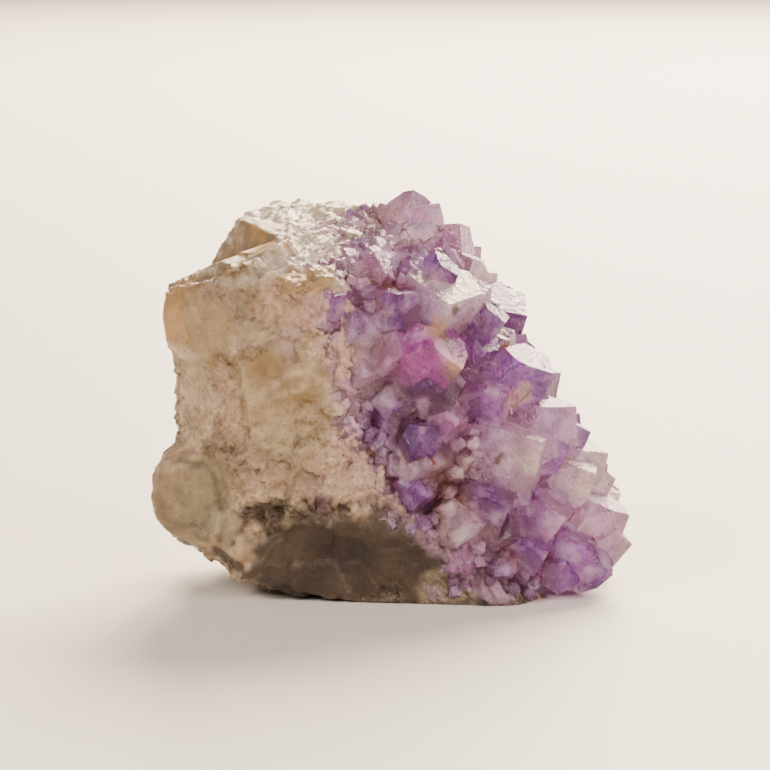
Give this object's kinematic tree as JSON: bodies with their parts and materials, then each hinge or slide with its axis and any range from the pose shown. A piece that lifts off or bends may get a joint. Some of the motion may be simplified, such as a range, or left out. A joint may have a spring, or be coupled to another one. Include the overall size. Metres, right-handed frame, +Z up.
{
  "type": "amethyst crystal specimen",
  "caption": "Broken lump of grey chalcedony rock with a druse of purple amethyst crystals grown over one side. It rests on a small flat.",
  "frame": {"origin": "on the ground, under the middle of the specimen's box", "axes": "+X towards the crystal side, +Y away from the viewer of the crystals, +Z up"},
  "size_m": [0.0664, 0.0428, 0.0545],
  "materials": {
    "chalcedony": "broken grey-beige chalcedony, waxy on its breaks and sugary between them",
    "amethyst": "grown faces of clear to milky purple quartz"
  },
  "bodies": {
    "root": {"chalcedony_matrix": "chalcedony", "amethyst_druse": "amethyst"}
  },
  "joints": []
}
